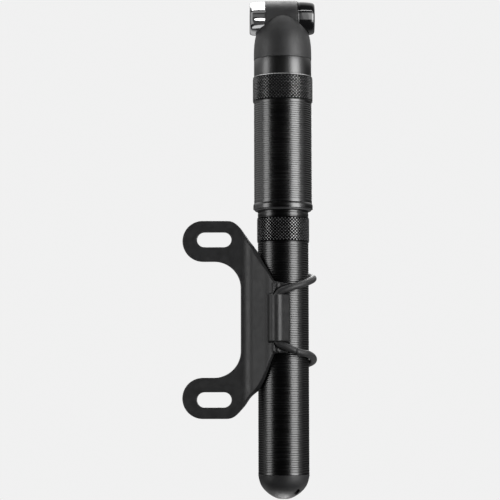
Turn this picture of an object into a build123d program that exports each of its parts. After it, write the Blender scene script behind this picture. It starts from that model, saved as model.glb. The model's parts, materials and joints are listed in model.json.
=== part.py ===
from build123d import *
import math
import os

# Bicycle mini pump in its bottle-boss bracket.
#
# Final frame, millimetres: the origin is the midpoint between the two bottle-boss
# slots, on the bracket's flat mounting face. +Z runs along the pump towards the
# valve head, +Y is the way the bicycle frame lies (the mounting face looks that
# way), +X points from the slots to the pump.
#
# Every piece is drawn in the pump's own frame (pump axis on Z, tip of the end cap
# at z = 0, front at -Y, right at +X) and then moved by PLACE. The bracket and the
# cord are drawn with z = 0 at the slot midpoint and first raised by BOSS_Z.

PUMP_X = 27.7            # pump axis beside the slots
PUMP_Y = 1.0             # pump axis behind the mounting face
BOSS_Z = 71.4            # slot midpoint above the tip of the end cap
PLACE = Location((PUMP_X, PUMP_Y, -BOSS_Z))
RAISE = Location((0, 0, BOSS_Z))

# Sizes shared by several pieces; _R is a radius.
BARREL_R, BARREL_BORE_R = 10.2, 9.3
SLEEVE_R, SLEEVE_BORE_R = 11.65, 10.75
SLEEVE_TOP = 164.0
COLLAR_LOW, COLLAR_HIGH = 159.2, 169.6
BAND_HIGH = 176.6
CYLINDER_TOP = 171.2
SOCKET_TOP = 172.0       # end of the cylinder's socket in the head
ROD_BORE_R = 1.6
PISTON_LOW, PISTON_HIGH = 161.0, 169.0
SEAT_TOP = 174.98
SEAT_BORE_R = 1.3
BALL_R = 2.0
BALL_Z = SEAT_TOP + math.sqrt(BALL_R**2 - SEAT_BORE_R**2) + 0.01

# cross tube of the valve head, its axis along X at CROSS_Z
CROSS_Z = 193.7
CROSS_R = 7.3
CROSS_LEFT, CROSS_RIGHT = -7.0, 5.95
LEVER_R = 7.0
CAP_R = 6.8
SCREW_X = -6.1           # lever screw, along Y


# ---------------------------------------------------------------- helpers
def polygon_face(points):
    return Face(Wire.make_polygon(points, close=True))


def turned(points):
    """A ring or disc turned about the pump axis from (radius, z) points."""
    return Solid.revolve(polygon_face([(r, 0, z) for r, z in points]), 360, Axis.Z)


def turned_x(points):
    """The same about the cross tube's axis, from (x, radius) points."""
    solid = Solid.revolve(polygon_face([(x, 0, r) for x, r in points]), 360, Axis.X)
    return solid.moved(Location((0, 0, CROSS_Z)))


def rod_z(radius, z0, z1, x=0.0, y=0.0):
    return Solid.make_cylinder(radius, z1 - z0, Plane((x, y, z0)))


def rod_x(radius, x0, x1):
    """A rod on the cross tube's axis."""
    return Solid.make_cylinder(radius, x1 - x0, Plane((x0, 0, CROSS_Z), z_dir=(1, 0, 0)))


def rod_y(radius, y0, y1, x, z):
    return Solid.make_cylinder(radius, y1 - y0, Plane((x, y0, z), z_dir=(0, 1, 0)))


def box(x0, x1, y0, y1, z0, z1):
    return Solid.make_box(x1 - x0, y1 - y0, z1 - z0, Plane((x0, y0, z0)))


def one(shape):
    """The single solid of a boolean result."""
    solids = shape.solids()
    assert len(solids) == 1, len(solids)
    return solids[0]


def on_xz(x, z):
    return (x, 0, z)


def trace(place, start, *steps):
    """Edges from start on: a step of one point is a line, of two points an arc."""
    edges = []
    for step in steps:
        points = [place(*point) for point in (start, *step)]
        make = Edge.make_line if len(step) == 1 else Edge.make_three_point_arc
        edges.append(make(*points))
        start = step[-1]
    return edges


def spline(place, points, tangents):
    return Edge.make_spline([place(*point) for point in points], tangents=tangents)


def hexagon(radius):
    angles = [math.radians(degrees) for degrees in range(0, 360, 60)]
    return [(radius * math.cos(a), radius * math.sin(a)) for a in angles]


def round_outside(ring, radius):
    """Round the two largest circles of a ring."""
    circles = ring.edges().filter_by(GeomType.CIRCLE)
    return one(ring.fillet(radius, circles.sort_by(SortBy.RADIUS)[-2:]))


# ---------------------------------------------------------------- cord
TUBE_X, TUBE_Y, TUBE_R = -3.0, -12.12, 3.55   # tube on the cradle the cord runs through
TUBE_LOW, TUBE_HIGH = -9.1, 9.6
CORD_R = 1.45
ON_BARREL = 11.97        # cord centre line where it lies on the barrel
TROUGH_R = 1.62
TROUGH_POINTS = 6        # path points a trough follows out of the tube

# (angle from +X in degrees, radius, z) from the tube round the right to the back
UPPER_STATIONS = [
    (-100.5, 12.5, 10.2), (-90, 12.45, 11.4), (-78, 12.3, 12.3), (-62, 12.1, 13.25),
    (-42, ON_BARREL, 14.5), (-16, ON_BARREL, 15.9), (12, ON_BARREL, 17.0),
    (40, ON_BARREL, 17.9), (70, ON_BARREL, 18.6), (100, ON_BARREL, 19.3),
    (128, ON_BARREL, 20.2), (148, 12.1, 21.2),
]
# the same from the back round the right to the tube
LOWER_STATIONS = [
    (148, 12.1, -21.2), (128, ON_BARREL, -20.2), (100, ON_BARREL, -19.2),
    (70, ON_BARREL, -18.4), (40, ON_BARREL, -17.7), (12, ON_BARREL, -16.6),
    (-14, ON_BARREL, -15.2), (-38, ON_BARREL, -13.8), (-58, 12.1, -12.9),
    (-76, 12.3, -11.9), (-89, 12.45, -11.0), (-100.0, 12.5, -9.8),
]
# (x, y, z) over the upper cleat; mirrored in z over the lower one
HOOK = [(-12.2, 3.2, 22.5), (-13.5, 1.35, 22.2), (-14.3, 0.55, 20.8), (-14.4, 0.5, 19.3)]


def wound(stations, step=11):
    """Points about every step degrees along (angle, radius, z) stations."""
    between = []
    for start, end in zip(stations, stations[1:]):
        count = max(1, round(abs(end[0] - start[0]) / step))
        for i in range(count):
            between.append([a + (b - a) * (i / count) for a, b in zip(start, end)])
    between.append(stations[-1])
    return [
        (radius * math.cos(math.radians(angle)), radius * math.sin(math.radians(angle)), z)
        for angle, radius, z in between
    ]


UPPER_PATH = [(TUBE_X, TUBE_Y, 8.6)] + wound(UPPER_STATIONS) + HOOK
LOWER_PATH = (
    [(x, y, -z) for x, y, z in reversed(HOOK)]
    + wound(LOWER_STATIONS)
    + [(TUBE_X, TUBE_Y, -8.2)]
)


def mitred(points, radius):
    """A round cord in short straight lengths with mitred joints."""
    line = Wire.make_polygon(points, close=False)
    first = Vector(points[1]) - Vector(points[0])
    ring = Face(Wire.make_circle(radius, Plane(points[0], z_dir=first)))
    return one(Solid.sweep(ring, line, transition=Transition.RIGHT))


def elastic_strap():
    """One loop: up the tube on the cradle, round the right of the barrel, behind it
    to the upper cleat, down the back, and the same way below. The ends meet in the tube."""
    half_gap = 0.05
    start, end = (TUBE_X, TUBE_Y, half_gap), (TUBE_X, TUBE_Y, -half_gap)
    return mitred([start] + UPPER_PATH + LOWER_PATH + [end], CORD_R).moved(RAISE)


# ---------------------------------------------------------------- bracket
# The plate is a bent sheet: flat ears, a bend, a sloping arm, and a cradle that
# wraps the front left of the barrel. Its edge walls stand square to the sheet.
BOSS_PITCH = 64.0        # standard bottle-boss spacing
SLOT_LENGTH = 13.8       # overall length of a boss slot
SLOT_WIDTH = 6.0         # for M5 screws
PLATE_T = 3.0
PLATE_FRONT = -PUMP_Y - PLATE_T   # front face of the ears
TILT = math.radians(43)  # slope of the arm towards the front
BEND_R = 7.5             # front radius of the bend between ear and arm
WRAP_R = 12.4            # outer radius of the cradle around the barrel
WRAP_END_X = 2.45
CRADLE_R = 10.42         # inner radius of the cradle
SHEET_LEFT = -41.0       # sheet before it is cut to the outline
SHEET_HALF = 45.0
FLANK_SLOPE = math.radians(39)
RIB_T = 0.85
CLEAT_LOW, CLEAT_HIGH = 15.6, 20.2

# outline of the front face
EAR_TOP, EAR_LOW = 39.6, 23.2
EAR_X = -32.24           # centre of the ear's round left end
EAR_R = (EAR_TOP - EAR_LOW) / 2
EAR_MID = EAR_LOW + EAR_R
GAP_X, GAP_R = -17.12, 10.6   # right edge and corner radius of the gap between the ears
# (x, z) down the right edge, above and below the cradle's tongue
ARM_UP = [
    (-22.6, 39.6), (-18.4, 37.85), (-16.57, 35.8), (-15.45, 33.78), (-14.45, 31.75),
    (-13.33, 29.7), (-12.29, 27.64), (-8.6, 21.6), (-4.86, 15.84),
]
ARM_DOWN = [
    (-4.88, -14.95), (-7.05, -19.86), (-9.68, -25.6), (-12.06, -28.69), (-13.49, -30.3),
    (-14.64, -32.1), (-15.59, -34.08), (-16.87, -36.06), (-18.77, -38.04), (-22.9, -39.6),
]
# steps for trace, as (x, z), from the end of ARM_UP to the start of ARM_DOWN
TONGUE = [
    [(-4.2, 15.1), (-3.2, 14.75)],
    [(1.15, 14.0)],
    [(2.2, 13.45), (2.6, 12.3)],
    [(2.6, -12.0)],
    [(2.15, -13.05), (1.1, -13.45)],
    [(-3.3, -13.7)],
    [(-4.25, -14.05), ARM_DOWN[0]],
]


def front_sheet():
    """The front surface of the plate, before it is cut to the outline."""
    sine, cosine = math.sin(TILT), math.cos(TILT)
    wrap_start = (-WRAP_R * sine, -WRAP_R * cosine)
    wrap_end = (WRAP_END_X, -math.sqrt(WRAP_R**2 - WRAP_END_X**2))
    wrap_angles = [math.atan2(y, x) for x, y in (wrap_start, wrap_end)]
    mid_angle = sum(wrap_angles) / 2
    wrap_mid = (WRAP_R * math.cos(mid_angle), WRAP_R * math.sin(mid_angle))

    corner_x = wrap_start[0] - (PLATE_FRONT - wrap_start[1]) / sine * cosine
    bend_length = BEND_R * math.tan(TILT / 2)
    bend_x = corner_x - bend_length
    bend_mid = (
        bend_x + BEND_R * math.sin(TILT / 2),
        PLATE_FRONT - BEND_R + BEND_R * math.cos(TILT / 2),
    )
    bend_end = (corner_x + bend_length * cosine, PLATE_FRONT - bend_length * sine)
    line = trace(
        lambda x, y: (x, y, -SHEET_HALF),
        (SHEET_LEFT, PLATE_FRONT),
        [(bend_x, PLATE_FRONT)],
        [bend_mid, bend_end],
        [wrap_start],
        [wrap_mid, wrap_end],
    )
    return Shell.extrude(Wire(line), (0, 0, 2 * SHEET_HALF))


def outline_prism():
    def place(x, z):
        return (x, -20.0, z)

    inset = GAP_R * (1 - math.sin(math.radians(45)))
    ear_left = EAR_X - EAR_R
    outline = (
        trace(place, (EAR_X, EAR_TOP), [ARM_UP[0]])
        + [spline(place, ARM_UP, [(1, 0, 0), (0.53, 0, -0.848)])]
        + trace(place, ARM_UP[-1], *TONGUE)
        + [spline(place, ARM_DOWN, [(-0.40, 0, -0.916), (-1, 0, 0)])]
        + trace(
            place,
            ARM_DOWN[-1],
            [(EAR_X, -EAR_TOP)],
            [(ear_left, -EAR_MID), (EAR_X, -EAR_LOW)],
            [(GAP_X - GAP_R, -EAR_LOW)],
            [(GAP_X - inset, inset - EAR_LOW), (GAP_X, GAP_R - EAR_LOW)],
            [(GAP_X, EAR_LOW - GAP_R)],
            [(GAP_X - inset, EAR_LOW - inset), (GAP_X - GAP_R, EAR_LOW)],
            [(EAR_X, EAR_LOW)],
            [(ear_left, EAR_MID), (EAR_X, EAR_TOP)],
        )
    )
    return Solid.extrude(Face(Wire(outline)), (0, 25, 0))


def tube_flank():
    """Fills from the cord tube back down to the cradle's edge on its right."""
    tangent_x = TUBE_X + TUBE_R * math.sin(FLANK_SLOPE)
    tangent_y = TUBE_Y - TUBE_R * math.cos(FLANK_SLOPE)
    edge_x, back_y = 2.15, -10.9
    section = [
        (TUBE_X, TUBE_Y),
        (tangent_x, tangent_y),
        (edge_x, tangent_y + (edge_x - tangent_x) * math.tan(FLANK_SLOPE)),
        (2.3, -11.6),
        (2.3, back_y),
        (TUBE_X, back_y),
    ]
    face = polygon_face([(x, y, TUBE_LOW) for x, y in section])
    return Solid.extrude(face, (0, 0, TUBE_HIGH - TUBE_LOW))


def cleat(z0, z1):
    """A rib on the back with a lip to the left, for the cord to hook over."""
    right, back = -10.9, 3.2
    solid = one(box(-12.86, right, -2.6, back, z0, z1) + box(-15.9, right, 2.1, back, z0, z1))
    return solid.fillet(0.5, solid.edges().filter_by(Axis.Y))


def boss_slot(z):
    half = (SLOT_LENGTH - SLOT_WIDTH) / 2
    radius = SLOT_WIDTH / 2
    left, right = -PUMP_X - half, -PUMP_X + half
    front, back = -6, 1
    return (
        rod_y(radius, front, back, left, z)
        + rod_y(radius, front, back, right, z)
        + box(left, right, front, back, z - radius, z + radius)
    )


def bracket():
    pieces = []
    for face in (front_sheet() & outline_prism()).faces():
        # the plate lies behind its front surface, whichever way the face looks
        depth = PLATE_T if face.normal_at().Y > 0 else -PLATE_T
        pieces.append(Solid.thicken(face, depth))
    plate = pieces[0].fuse(*pieces[1:])
    plate = plate + rod_z(TUBE_R, TUBE_LOW, TUBE_HIGH, TUBE_X, TUBE_Y) + tube_flank()

    # two short ribs between each end of the tube and the edge of the cradle
    for x in (-4.5, -2.85):
        for z0, z1 in ((TUBE_HIGH - 0.5, 14.0), (-13.2, TUBE_LOW + 0.5)):
            plate = plate + box(x, x + RIB_T, -12.85, -11.2, z0, z1)

    for z0, z1 in ((CLEAT_LOW, CLEAT_HIGH), (-CLEAT_HIGH, -CLEAT_LOW)):
        plate = plate + cleat(z0, z1)

    # barrel space, cord tube bore, slots
    plate = plate - rod_z(CRADLE_R, -SHEET_HALF, SHEET_HALF)
    plate = plate - rod_z(1.6, TUBE_LOW - 0.1, TUBE_HIGH + 0.1, TUBE_X, TUBE_Y)
    for z in (BOSS_PITCH / 2, -BOSS_PITCH / 2):
        plate = plate - boss_slot(z)

    # troughs that let the cord out of the tube across the cradle
    plate = plate - mitred(UPPER_PATH[:TROUGH_POINTS], TROUGH_R)
    plate = plate - mitred(LOWER_PATH[-TROUGH_POINTS:], TROUGH_R)
    return one(plate).moved(RAISE)


# ---------------------------------------------------------------- handle
BARREL_LOW, BARREL_HIGH = 9.75, 158.0
KNURL_R = 10.5
KNURL_LOW, KNURL_HIGH = 102.3, 112.4
# (radius, z) of the end cap's outside, from its rim to its tip
DOME = [
    (10.28, 9.7), (10.13, 8.9), (9.85, 7.52), (9.13, 5.54),
    (7.7, 3.56), (5.2, 1.5), (2.4, 0.2), (0, 0),
]
VENT_SIZE = (2.6, 5.0, 0.75)
VENT_PLACE = Location((5.1, -5.4, 3.0), (0, -48, 0))


def barrel():
    return turned([
        (BARREL_BORE_R, BARREL_LOW), (BARREL_R, BARREL_LOW), (BARREL_R, KNURL_LOW),
        (KNURL_R, KNURL_LOW + 0.3), (KNURL_R, KNURL_HIGH - 0.3), (BARREL_R, KNURL_HIGH),
        (BARREL_R, BARREL_HIGH), (BARREL_BORE_R, BARREL_HIGH),
    ])


def end_cap():
    """Dome, hollow for the end plug, with a slanted air inlet low on the front right."""
    edge = spline(on_xz, DOME, [(-0.02, 0, -1), (-1, 0, 0)])
    rim_z = DOME[0][1]
    section = [edge] + trace(on_xz, DOME[-1], [(0, rim_z)], [DOME[0]])
    dome = Solid.revolve(Face(Wire(section)), 360, Axis.Z)
    dome = dome - rod_z(6.55, 4.3, 10) - rod_z(3.45, 2.2, 4.4)
    vent = Solid.make_box(*VENT_SIZE, Plane(tuple(-size / 2 for size in VENT_SIZE)))
    return one(dome - vent.moved(VENT_PLACE))


def end_plug():
    plug = turned([
        (2.0, 4.6), (6.5, 4.6), (6.5, 9.72), (9.28, 9.72), (9.28, 12.8),
        (3.06, 12.8), (3.06, 9.4), (2.0, 9.4),
    ])
    return one(plug - rod_z(3.4, 4.0, 7.2))


def barrel_bush():
    bore_r, top = 8.65, 159
    rim_z = BARREL_HIGH + 0.02
    return turned([
        (bore_r, 152), (9.28, 152), (9.28, rim_z), (10.12, rim_z), (10.12, top), (bore_r, top),
    ])


# ---------------------------------------------------------------- rod group
PISTON_R = 7.7


def piston_rod():
    radius, low = 3.0, 9.45
    rod = turned([
        (0, low), (radius, low), (radius, PISTON_LOW), (1.6, PISTON_LOW), (1.6, 171.2), (0, 171.2),
    ])
    return one(rod - rod_z(ROD_BORE_R, 9.0, 21.0))


def rod_bolt():
    shank_r = ROD_BORE_R - 0.02
    bolt = turned([
        (0, 4.7), (3.0, 4.7), (3.2, 4.9), (3.2, 6.6), (shank_r, 6.6), (shank_r, 20.5), (0, 20.5),
    ])
    socket = polygon_face([(x, y, 4.6) for x, y in hexagon(1.75)])
    return one(bolt - Solid.extrude(socket, (0, 0, 1.2)))


def swivel_washer():
    return turned([(1.65, 6.62), (3.2, 6.62), (3.2, 7.17), (1.65, 7.17)])


def piston():
    low = PISTON_LOW + 0.02
    return turned([
        (1.62, low), (PISTON_R - 0.3, low), (PISTON_R, low + 0.3), (PISTON_R, 163.5),
        (6.2, 163.5), (6.2, 166.2), (PISTON_R, 166.2),   # groove for the seal
        (PISTON_R, 168.6), (PISTON_R - 0.4, PISTON_HIGH), (1.62, PISTON_HIGH),
    ])


def piston_seal():
    ring = turned([(6.25, 163.6), (7.76, 163.6), (7.76, 166.1), (6.25, 166.1)])
    return round_outside(ring, 0.5)


def piston_nut():
    face = polygon_face([(x, y, PISTON_HIGH + 0.01) for x, y in hexagon(3.8)])
    return one(Solid.extrude(face, (0, 0, 2.1)) - rod_z(1.62, 168, 173))


# ---------------------------------------------------------------- head group
LIP_R = 12.0             # rolled lip at the sleeve's mouth
LIP_LOW, LIP_HIGH = 115.7, 118.1
COLLAR_R = 12.1
BAND_R = 11.6
CYLINDER_R, CYLINDER_BORE_R = 8.6, 7.8
CYLINDER_LOW = 16.5
SKIRT_LOW = 160.5
SKIRT_R = 10.9           # skirt inside the collar and band
# (radius, z) of the bullet-shaped outside of the head
OGIVE = [
    (11.68, 176.6), (11.66, 179.0), (11.6, 181.2), (11.45, 183.2), (11.15, 185.2), (10.65, 187.2),
    (9.95, 189.0), (9.1, 190.9), (8.2, 192.5), (7.25, 193.9), (6.0, 195.6), (4.6, 197.2),
]


def grip_sleeve():
    step_r = SLEEVE_R - 0.05
    return turned([
        (SLEEVE_BORE_R, LIP_LOW), (LIP_R - 0.55, LIP_LOW), (LIP_R - 0.2, LIP_LOW + 0.25),
        (LIP_R, LIP_LOW + 0.75), (LIP_R, LIP_HIGH - 0.95), (LIP_R - 0.15, LIP_HIGH - 0.4),
        (SLEEVE_R, LIP_HIGH + 0.1), (SLEEVE_R, 159.25), (step_r, 159.3),
        (step_r, SLEEVE_TOP), (SLEEVE_BORE_R, SLEEVE_TOP),
    ])


def mouth_bush():
    return turned([
        (10.26, 115.05), (11.1, 115.05), (11.3, 115.25), (11.3, 115.68),
        (10.73, 115.68), (10.73, 121.5), (10.26, 121.5),
    ])


def knurled_collar():
    low, top = COLLAR_LOW + 0.02, COLLAR_HIGH - 0.02
    bore_r, step_z = SKIRT_R + 0.02, SLEEVE_TOP + 0.05
    return turned([
        (SLEEVE_R, low), (COLLAR_R - 0.3, low), (COLLAR_R, COLLAR_LOW + 0.35),
        (COLLAR_R, COLLAR_HIGH - 0.5), (COLLAR_R - 0.45, top), (bore_r, top),
        (bore_r, step_z), (SLEEVE_R, step_z),
    ])


def smooth_band():
    bore_r, top = SKIRT_R + 0.02, BAND_HIGH - 0.02
    return turned([
        (bore_r, COLLAR_HIGH), (BAND_R - 0.1, COLLAR_HIGH), (BAND_R, COLLAR_HIGH + 0.1),
        (BAND_R, BAND_HIGH - 0.1), (BAND_R - 0.1, top), (bore_r, top),
    ])


def air_cylinder():
    return turned([
        (CYLINDER_BORE_R, CYLINDER_LOW), (CYLINDER_R, CYLINDER_LOW),
        (CYLINDER_R, CYLINDER_TOP), (CYLINDER_BORE_R, CYLINDER_TOP),
    ])


def cylinder_gasket():
    low, top = CYLINDER_TOP + 0.01, SOCKET_TOP - 0.01
    return turned([(7.0, low), (8.58, low), (8.58, top), (7.0, top)])


def rod_guide():
    shoulder = CYLINDER_LOW - 0.02
    return turned([
        (3.05, 13.4), (8.95, 13.4), (9.25, 13.7), (9.25, shoulder), (7.78, shoulder),
        (7.78, 34.0), (3.05, 34.0),
    ])


def stop_buffer():
    return turned([(3.15, 34.02), (7.5, 34.02), (7.5, 40.5), (3.15, 40.5)])


def head_housing():
    section = (
        trace(
            on_xz, (0, SKIRT_LOW),
            [(10.7, SKIRT_LOW)], [(10.7, 164.2)], [(SKIRT_R, 164.2)],
            [(SKIRT_R, BAND_HIGH)], [OGIVE[0]],
        )
        + [spline(on_xz, OGIVE, [(0, 0, 1), (-0.66, 0, 0.75)])]
        + trace(on_xz, OGIVE[-1], [(0, OGIVE[-1][1])], [(0, SKIRT_LOW)])
    )
    head = Solid.revolve(Face(Wire(section)), 360, Axis.Z)
    # pockets in the shoulders for the lever hub and the valve cap
    head = head - rod_x(LEVER_R + 0.15, -16, CROSS_LEFT)
    head = head - rod_x(CAP_R + 0.25, CROSS_RIGHT, 16)
    tube = rod_x(CROSS_R, CROSS_LEFT, CROSS_RIGHT)
    tube = tube.fillet(0.25, tube.edges().filter_by(GeomType.CIRCLE))
    spigot = rod_x(5.9, CROSS_RIGHT - 1, 9.4)
    head = head + tube + spigot
    head = head - rod_x(5.05, -8, 10)
    head = head - rod_z(8.62, 160, SOCKET_TOP)           # cylinder socket
    head = head - rod_z(3.2, 171, 175)                   # valve seat
    head = head - rod_z(2.7, 174, 183.5)                 # ball and spring
    head = head - rod_z(0.6, 183, CROSS_Z - 3, x=1.0)    # passage to the cross tube
    head = head - rod_y(0.78, 3, 9, SCREW_X, CROSS_Z)    # lever screw
    return one(head)


def valve_seat():
    low = SOCKET_TOP + 0.02
    return turned([(SEAT_BORE_R, low), (3.18, low), (3.18, SEAT_TOP), (SEAT_BORE_R, SEAT_TOP)])


def check_ball():
    return Solid.make_sphere(BALL_R, Plane((0, 0, BALL_Z)), angle1=-90, angle2=90, angle3=360)


def check_spring():
    coil = Edge.make_helix(pitch=0.95, height=4.25, radius=1.75, center=(0, 0, BALL_Z + 2.3))
    ring = Wire.make_circle(0.25, Plane(coil.position_at(0), z_dir=coil.tangent_at(0)))
    return one(Solid.sweep(Face(ring), Wire([coil]), is_frenet=True))


def valve_grommet():
    return turned_x([(4.7, 4.05), (4.7, 5.0), (11.0, 5.0), (11.0, 4.05)])


def valve_cap():
    """Cap over the grommet, with the valve's entry hole."""
    return turned_x([
        (6.0, 5.95), (6.0, 6.75), (6.15, 6.9), (6.5, 6.9), (6.6, 6.65), (6.85, 6.65),
        (6.95, CAP_R), (8.6, CAP_R - 0.04), (10.2, CAP_R - 0.16), (11.7, CAP_R - 0.37),
        (12.5, CAP_R - 0.68), (12.85, CAP_R - 1.05), (12.95, CAP_R - 1.5),
        (12.95, 4.45), (12.55, 4.05), (11.08, 4.05), (11.08, 5.1), (9.5, 5.1), (9.5, 5.95),
    ])


# ---------------------------------------------------------------- lever and plunger
# The lever's hub turns in the cross tube. The inner end of its spindle is cut on a
# slant; turning it by 90 degrees pushes the plunger, cut on the same slant.
LEVER_TRAVEL = 1.5       # how far the lever pushes the plunger
SPINDLE_R = 5.0
SLANT = LEVER_TRAVEL / (math.sqrt(2) * SPINDLE_R)
CAM_X = -3.7
RING_X = (-1.85, 2.35)   # middles of the plunger's ring grooves
# (x, y) of the thumb paddle on the back of the lever
PADDLE = [
    (-13.2, 4.5), (-13.2, 15.5), (-12.6, 19.5), (-10.6, 21.8), (-6.6, 22.4), (-3.4, 21.4),
    (-2.0, 18.6), (-2.9, 15.6), (-5.4, 13.2), (-7.1, 10.4), (-7.2, 4.5),
]


def slanted(cam_x, far_x):
    """A block from the slanted plane through cam_x to far_x."""
    half = 10
    lean = SLANT * half
    section = [(cam_x - lean, -half), (cam_x + lean, half), (far_x, half), (far_x, -half)]
    face = polygon_face([(x, half, z + CROSS_Z) for x, z in section])
    return Solid.extrude(face, (0, -2 * half, 0))


def lock_lever():
    hub = turned_x([
        (-2.0, 0), (-2.0, SPINDLE_R), (-5.3, SPINDLE_R), (-5.3, 4.5), (-6.9, 4.5),
        (-6.9, SPINDLE_R), (-7.06, SPINDLE_R), (-7.06, 6.85), (-7.2, LEVER_R),
        (-8.4, LEVER_R - 0.01), (-9.8, LEVER_R - 0.06), (-11.3, LEVER_R - 0.17),
        (-12.5, LEVER_R - 0.36), (-13.1, LEVER_R - 0.65), (-13.35, LEVER_R - 1.1),
        (-13.35, 5.3), (-13.05, 5.0), (-13.05, 0),
    ])
    hub = one(hub - slanted(CAM_X, 6))
    face = polygon_face([(x, y, CROSS_Z + 1.0) for x, y in PADDLE])
    paddle = Solid.extrude(face, (0, 0, 2.6))
    # every edge of the two flat sides but the front ones, inside the hub
    paddle = paddle.fillet(0.7, paddle.edges().filter_by(Plane.XY).sort_by(Axis.Y)[2:])
    return one(hub + paddle)


def lever_screw():
    screw = rod_y(0.75, 4.65, 6.95, SCREW_X, CROSS_Z)
    socket = polygon_face([(SCREW_X + x, 7.2, CROSS_Z + z) for x, z in hexagon(0.42)])
    return one(screw - Solid.extrude(socket, (0, -1.1, 0)))


def plunger():
    body = turned_x([
        (-6.0, 0), (-6.0, 5.0), (-2.35, 5.0), (-2.35, 4.4), (-1.35, 4.4), (-1.35, 5.0),
        (-1.1, 5.0), (-1.1, 3.4), (1.6, 3.4), (1.6, 5.0), (1.85, 5.0), (1.85, 4.4),
        (2.85, 4.4), (2.85, 5.0), (3.2, 5.0), (3.2, 2.0), (0.2, 2.0), (0.2, 0),
    ])
    body = one(body & slanted(CAM_X + 0.12, 12))
    # hole from the axis down through the waist, then the valve pin's bore
    body = body - Solid.make_cylinder(0.6, 4.6, Plane((0.9, 0, CROSS_Z), z_dir=(0, 0, -1)))
    body = body - rod_x(0.9, -0.8, 0.5)
    return one(body)


def valve_pin():
    return turned_x([(-0.78, 0), (-0.78, 0.88), (4.3, 0.88), (4.6, 0.58), (4.6, 0)])


def plunger_rings():
    rings = []
    for x in RING_X:
        x0, x1 = x - 0.45, x + 0.45
        ring = turned_x([(x0, 4.43), (x1, 4.43), (x1, 5.03), (x0, 5.03)])
        rings.append(round_outside(ring, 0.28))
    return rings


# ---------------------------------------------------------------- write
# each file is named after the function that builds it
PARTS = [
    bracket, elastic_strap,
    barrel, end_cap, end_plug, barrel_bush,
    piston_rod, rod_bolt, swivel_washer, piston, piston_seal, piston_nut,
    grip_sleeve, mouth_bush, knurled_collar, smooth_band, air_cylinder, cylinder_gasket,
    rod_guide, stop_buffer, head_housing, valve_seat, check_ball, check_spring,
    valve_grommet, valve_cap, lock_lever, lever_screw, plunger, valve_pin, plunger_rings,
]

os.makedirs("parts", exist_ok=True)
for build in PARTS:
    shape = build()
    if isinstance(shape, list):
        shape = Compound([solid.moved(PLACE) for solid in shape])
    else:
        shape = shape.moved(PLACE)
    export_step(shape, "parts/" + build.__name__ + ".step")
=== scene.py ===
import bpy
import bmesh
import json
import math
import numpy as np
from mathutils import Matrix, Vector


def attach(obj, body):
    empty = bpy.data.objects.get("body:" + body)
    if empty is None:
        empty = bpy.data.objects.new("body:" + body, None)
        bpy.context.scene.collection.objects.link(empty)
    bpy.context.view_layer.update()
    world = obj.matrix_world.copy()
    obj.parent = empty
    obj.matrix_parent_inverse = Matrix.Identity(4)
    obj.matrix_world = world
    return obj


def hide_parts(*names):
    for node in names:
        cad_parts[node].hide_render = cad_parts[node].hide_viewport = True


# Looks of a bicycle mini pump in its bottle-boss bracket. Shapes are written in
# the pump's own millimetres (pump axis on Z, tip of the end cap at z = 0, front
# at -Y) and moved into the row frame, in metres, when a mesh becomes a piece.

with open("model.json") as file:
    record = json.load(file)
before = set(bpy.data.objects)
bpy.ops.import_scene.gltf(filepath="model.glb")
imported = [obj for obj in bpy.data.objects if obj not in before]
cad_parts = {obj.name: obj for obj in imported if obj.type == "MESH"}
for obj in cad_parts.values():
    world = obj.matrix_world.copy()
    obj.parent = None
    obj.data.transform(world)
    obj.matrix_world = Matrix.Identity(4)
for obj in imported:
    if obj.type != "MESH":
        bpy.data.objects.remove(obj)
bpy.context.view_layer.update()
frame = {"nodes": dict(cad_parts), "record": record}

MM = 0.001
AXIS_X, AXIS_Y = 27.7, 1.0  # the pump's axis in the row frame
BOSS_Z = 71.4  # height on the pump that lies at z = 0 in the row frame
CROSS_Z = 193.7  # axis of the cross tube in the head, which runs along X

BARREL_RADIUS = 10.2
BARREL_KNURL_RADIUS = 10.5
BARREL_KNURL_Z = (102.3, 112.4)
SLEEVE_RADIUS = 11.65
COLLAR_RADIUS = 12.1
COLLAR_Z = (159.24, 169.56)


# ------------------------------------------------------------------ shapes
# A shape is a pair: a list of points and a list of faces.
def around(radius, angle, z):
    """Point at an angle in radians about the pump axis."""
    return (radius * math.cos(angle), radius * math.sin(angle), z)


def bridge(lower, upper, count):
    """Quads between two rings of count points, each given by its first index."""
    faces = []
    for j in range(count):
        k = (j + 1) % count
        faces.append([lower + j, lower + k, upper + k, upper + j])
    return faces


def skin(layers):
    """Closed skin over a stack of equal rings, with flat ends."""
    count = len(layers[0])
    verts = [point for layer in layers for point in layer]
    faces = []
    for i in range(len(layers) - 1):
        faces += bridge(i * count, (i + 1) * count, count)
    faces.append(list(range(count))[::-1])
    faces.append(list(range(len(verts) - count, len(verts))))
    return verts, faces


def turned(profile, sides, axis="z"):
    """Closed loop of (radius, height) points turned about the pump axis, or about
    the cross tube's axis with height along X."""
    verts, faces, rings = [], [], []
    for radius, height in profile:
        start = len(verts)
        if radius < 1e-6:
            rings.append([start] * sides)
            verts.append((0.0, 0.0, height) if axis == "z" else (height, 0.0, CROSS_Z))
            continue
        for j in range(sides):
            x, y, z = around(radius, 2 * math.pi * j / sides, height)
            verts.append((x, y, z) if axis == "z" else (z, x, CROSS_Z + y))
        rings.append(list(range(start, start + sides)))
    for ring, following in zip(rings, rings[1:] + rings[:1]):
        for j in range(sides):
            k = (j + 1) % sides
            corners = list(dict.fromkeys([ring[j], ring[k], following[k], following[j]]))
            if len(corners) > 2:
                faces.append(corners)
    return verts, faces


def cross_cylinder(radius, x0, x1, sides):
    """Plain cylinder on the cross tube's axis."""
    return turned([(0.0, x0), (radius, x0), (radius, x1), (0.0, x1)], sides, "x")


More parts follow.
